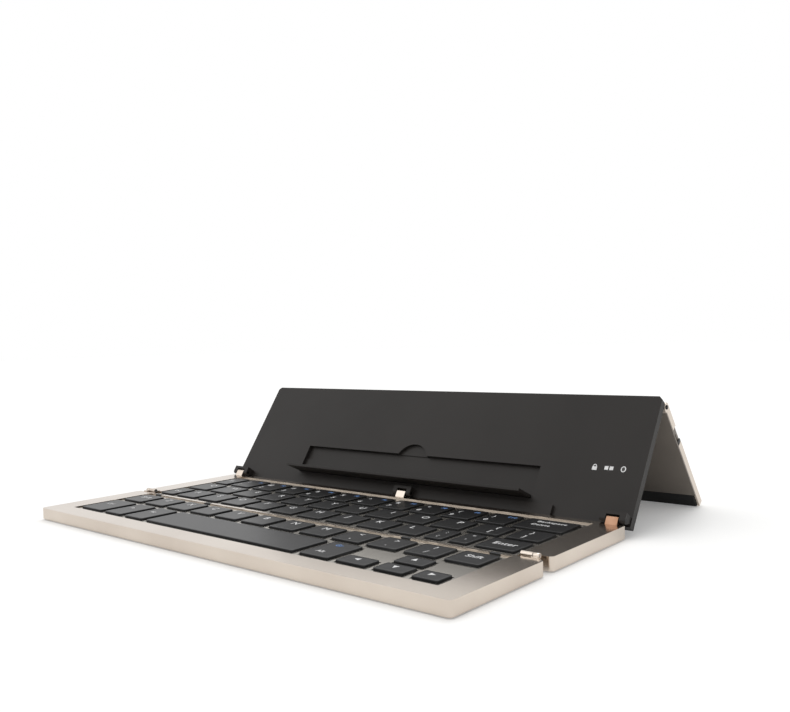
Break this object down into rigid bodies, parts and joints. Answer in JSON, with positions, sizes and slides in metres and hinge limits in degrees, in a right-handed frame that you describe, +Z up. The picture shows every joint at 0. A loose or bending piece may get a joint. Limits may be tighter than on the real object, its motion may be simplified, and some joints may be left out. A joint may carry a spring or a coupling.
{
  "type": "folding keyboard",
  "caption": "Folding keyboard: two key decks on a middle fold, with a hinged stand, a fold-out rest flap for a tablet and a prop leg at the back.",
  "frame": {"origin": "middle of the underside of the rear deck, on the middle foot strip, on the plane that the object stands on", "axes": "+X along the width to the right as seen by the person typing, +Y away from them towards the stand, +Z up"},
  "size_m": [0.2478, 0.1999, 0.0551],
  "materials": {
    "champagne_aluminium": "satin, bead blasted and anodised",
    "copper_metal": "satin",
    "key_plate_metal": "satin",
    "stand_plastic": "satin black",
    "base_plastic": "fine grain",
    "leg_cover_plastic": "fine grain",
    "black_rubber": "matte",
    "insert_plastic": "matte",
    "silicone": "matte",
    "circuit_sheet": "satin",
    "ribbon_film": "satin",
    "circuit_board": "satin",
    "cell_foil": "satin foil",
    "steel": "brushed",
    "black_steel": "blackened",
    "clear_window": "smoked",
    "key_plastic": "semi-matte"
  },
  "bodies": {
    "rear_deck": {"rear_case": "champagne_aluminium", "rear_base_plate": "base_plastic", "rear_key_plate": "key_plate_metal", "rear_switch_sheet": "circuit_sheet", "rear_domes": "silicone", "rear_feet": "black_rubber", "rear_case_screws": "steel", "fold_ribbon": "ribbon_film", "rear_fold_leaves": "champagne_aluminium", "fold_pins": "steel", "left_hinge_barrel": "champagne_aluminium", "right_hinge_barrel": "copper_metal", "centre_hinge_lug": "champagne_aluminium"},
    "front_deck": {"front_case": "champagne_aluminium", "front_base_plate": "base_plastic", "front_key_plate": "key_plate_metal", "front_switch_sheet": "circuit_sheet", "front_domes": "silicone", "front_feet": "black_rubber", "front_case_screws": "steel", "fold_wall_inserts": "insert_plastic", "front_fold_leaves": "champagne_aluminium"},
    "stand": {"stand_front_cover": "stand_plastic", "stand_rear_cover": "stand_plastic", "hinge_cover_bar": "stand_plastic", "stand_screws": "steel", "control_board": "circuit_board", "light_windows": "clear_window", "flap_pins": "steel", "left_hinge_bracket": "stand_plastic", "right_hinge_bracket": "stand_plastic", "stand_hinge_pins": "black_steel", "centre_hinge_pin": "black_steel"},
    "flap": {"rest_flap": "stand_plastic"},
    "leg": {"leg_shell": "champagne_aluminium", "leg_inner_cover": "leg_cover_plastic", "leg_pins": "black_steel", "foot_band": "black_rubber", "leg_screws": "steel", "battery": "cell_foil", "switch_body": "steel"},
    "switch": {"switch_button": "insert_plastic"},
    "escape_key": {"escape_key": "key_plastic"},
    "number_keys": {"number_keys": "key_plastic"},
    "backspace_key": {"backspace_key": "key_plastic"},
    "upper_letter_keys": {"upper_letter_keys": "key_plastic"},
    "caps_key": {"caps_key": "key_plastic"},
    "home_letter_keys": {"home_letter_keys": "key_plastic"},
    "enter_key": {"enter_key": "key_plastic"},
    "left_shift_key": {"left_shift_key": "key_plastic"},
    "lower_letter_keys": {"lower_letter_keys": "key_plastic"},
    "right_shift_key": {"right_shift_key": "key_plastic"},
    "left_modifier_keys": {"left_modifier_keys": "key_plastic"},
    "space_bar": {"space_bar": "key_plastic"},
    "right_modifier_key": {"right_modifier_key": "key_plastic"},
    "left_arrow_key": {"left_arrow_key": "key_plastic"},
    "up_arrow_key": {"up_arrow_key": "key_plastic"},
    "down_arrow_key": {"down_arrow_key": "key_plastic"},
    "right_arrow_key": {"right_arrow_key": "key_plastic"}
  },
  "joints": [
    {"name": "middle_fold", "type": "hinge", "parent": "rear_deck", "child": "front_deck", "pos_m": [0, -0.03205, 0.0062], "axis": [-1, 0, 0], "range_deg": [0, 180], "deforming": ["fold_ribbon"]},
    {"name": "stand_tilt", "type": "hinge", "parent": "rear_deck", "child": "stand", "pos_m": [0, 0.02965, 0.0075], "axis": [-1, 0, 0], "range_deg": [-60, 20]},
    {"name": "rest_flap_swing", "type": "hinge", "parent": "stand", "child": "flap", "pos_m": [0, 0.03745, 0.01109], "axis": [-1, 0, 0], "range_deg": [0, 100]},
    {"name": "leg_swing", "type": "hinge", "parent": "stand", "child": "leg", "pos_m": [0, 0.07078, 0.05003], "axis": [-1, 0, 0], "range_deg": [0, 73]},
    {"name": "power_switch_slide", "type": "slide", "parent": "leg", "child": "switch", "axis": [0, -0.6211, 0.7837], "range_m": [0, 0.004]},
    {"name": "escape_key_press", "type": "slide", "parent": "rear_deck", "child": "escape_key", "axis": [0, 0, -1], "range_m": [0, 0.0009], "stiffness_N_per_m": 200, "springref_m": -0.002, "deforming": ["rear_domes"]},
    {"name": "number_keys_press", "type": "slide", "parent": "rear_deck", "child": "number_keys", "axis": [0, 0, -1], "range_m": [0, 0.0009], "stiffness_N_per_m": 200, "springref_m": -0.002, "deforming": ["rear_domes"]},
    {"name": "backspace_key_press", "type": "slide", "parent": "rear_deck", "child": "backspace_key", "axis": [0, 0, -1], "range_m": [0, 0.0009], "stiffness_N_per_m": 200, "springref_m": -0.002, "deforming": ["rear_domes"]},
    {"name": "upper_letter_keys_press", "type": "slide", "parent": "rear_deck", "child": "upper_letter_keys", "axis": [0, 0, -1], "range_m": [0, 0.0009], "stiffness_N_per_m": 200, "springref_m": -0.002, "deforming": ["rear_domes"]},
    {"name": "caps_key_press", "type": "slide", "parent": "rear_deck", "child": "caps_key", "axis": [0, 0, -1], "range_m": [0, 0.0009], "stiffness_N_per_m": 200, "springref_m": -0.002, "deforming": ["rear_domes"]},
    {"name": "home_letter_keys_press", "type": "slide", "parent": "rear_deck", "child": "home_letter_keys", "axis": [0, 0, -1], "range_m": [0, 0.0009], "stiffness_N_per_m": 200, "springref_m": -0.002, "deforming": ["rear_domes"]},
    {"name": "enter_key_press", "type": "slide", "parent": "rear_deck", "child": "enter_key", "axis": [0, 0, -1], "range_m": [0, 0.0009], "stiffness_N_per_m": 200, "springref_m": -0.002, "deforming": ["rear_domes"]},
    {"name": "left_shift_key_press", "type": "slide", "parent": "front_deck", "child": "left_shift_key", "axis": [0, 0, -1], "range_m": [0, 0.0009], "stiffness_N_per_m": 200, "springref_m": -0.002, "deforming": ["front_domes"]},
    {"name": "lower_letter_keys_press", "type": "slide", "parent": "front_deck", "child": "lower_letter_keys", "axis": [0, 0, -1], "range_m": [0, 0.0009], "stiffness_N_per_m": 200, "springref_m": -0.002, "deforming": ["front_domes"]},
    {"name": "right_shift_key_press", "type": "slide", "parent": "front_deck", "child": "right_shift_key", "axis": [0, 0, -1], "range_m": [0, 0.0009], "stiffness_N_per_m": 200, "springref_m": -0.002, "deforming": ["front_domes"]},
    {"name": "left_modifier_keys_press", "type": "slide", "parent": "front_deck", "child": "left_modifier_keys", "axis": [0, 0, -1], "range_m": [0, 0.0009], "stiffness_N_per_m": 200, "springref_m": -0.002, "deforming": ["front_domes"]},
    {"name": "space_bar_press", "type": "slide", "parent": "front_deck", "child": "space_bar", "axis": [0, 0, -1], "range_m": [0, 0.0009], "stiffness_N_per_m": 200, "springref_m": -0.002, "deforming": ["front_domes"]},
    {"name": "right_modifier_key_press", "type": "slide", "parent": "front_deck", "child": "right_modifier_key", "axis": [0, 0, -1], "range_m": [0, 0.0009], "stiffness_N_per_m": 200, "springref_m": -0.002, "deforming": ["front_domes"]},
    {"name": "left_arrow_key_press", "type": "slide", "parent": "front_deck", "child": "left_arrow_key", "axis": [0, 0, -1], "range_m": [0, 0.0009], "stiffness_N_per_m": 200, "springref_m": -0.002, "deforming": ["front_domes"]},
    {"name": "up_arrow_key_press", "type": "slide", "parent": "front_deck", "child": "up_arrow_key", "axis": [0, 0, -1], "range_m": [0, 0.0009], "stiffness_N_per_m": 200, "springref_m": -0.002, "deforming": ["front_domes"]},
    {"name": "down_arrow_key_press", "type": "slide", "parent": "front_deck", "child": "down_arrow_key", "axis": [0, 0, -1], "range_m": [0, 0.0009], "stiffness_N_per_m": 200, "springref_m": -0.002, "deforming": ["front_domes"]},
    {"name": "right_arrow_key_press", "type": "slide", "parent": "front_deck", "child": "right_arrow_key", "axis": [0, 0, -1], "range_m": [0, 0.0009], "stiffness_N_per_m": 200, "springref_m": -0.002, "deforming": ["front_domes"]}
  ]
}
